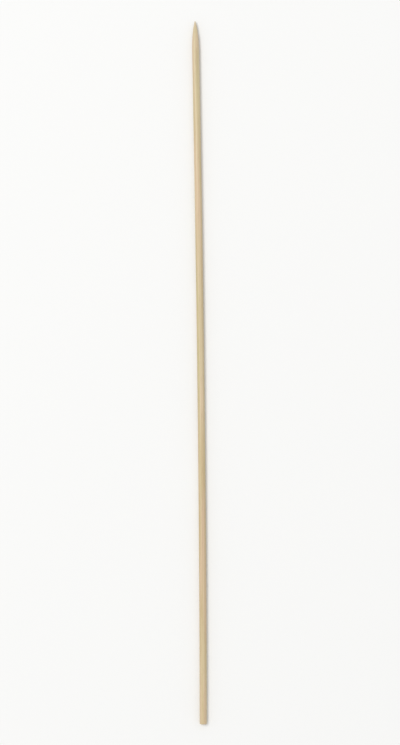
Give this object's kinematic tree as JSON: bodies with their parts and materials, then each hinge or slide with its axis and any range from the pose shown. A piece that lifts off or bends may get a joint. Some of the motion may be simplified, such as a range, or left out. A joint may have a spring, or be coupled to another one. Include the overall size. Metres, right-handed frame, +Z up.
{
  "type": "bamboo skewer",
  "caption": "Slender round bamboo rod for grilling food, ground to a swelling point at one end and sawn square at the other.",
  "frame": {"origin": "on the surface that the skewer lies on, under the middle of its length and width", "axes": "+Y along the rod towards its point, +X towards the outside of its slight bow, +Z up"},
  "size_m": [0.0038, 0.3, 0.003],
  "materials": {
    "bamboo": "drawn and tumbled, unfinished, with fine lengthwise fibres"
  },
  "bodies": {
    "root": {"skewer": "bamboo"}
  },
  "joints": []
}
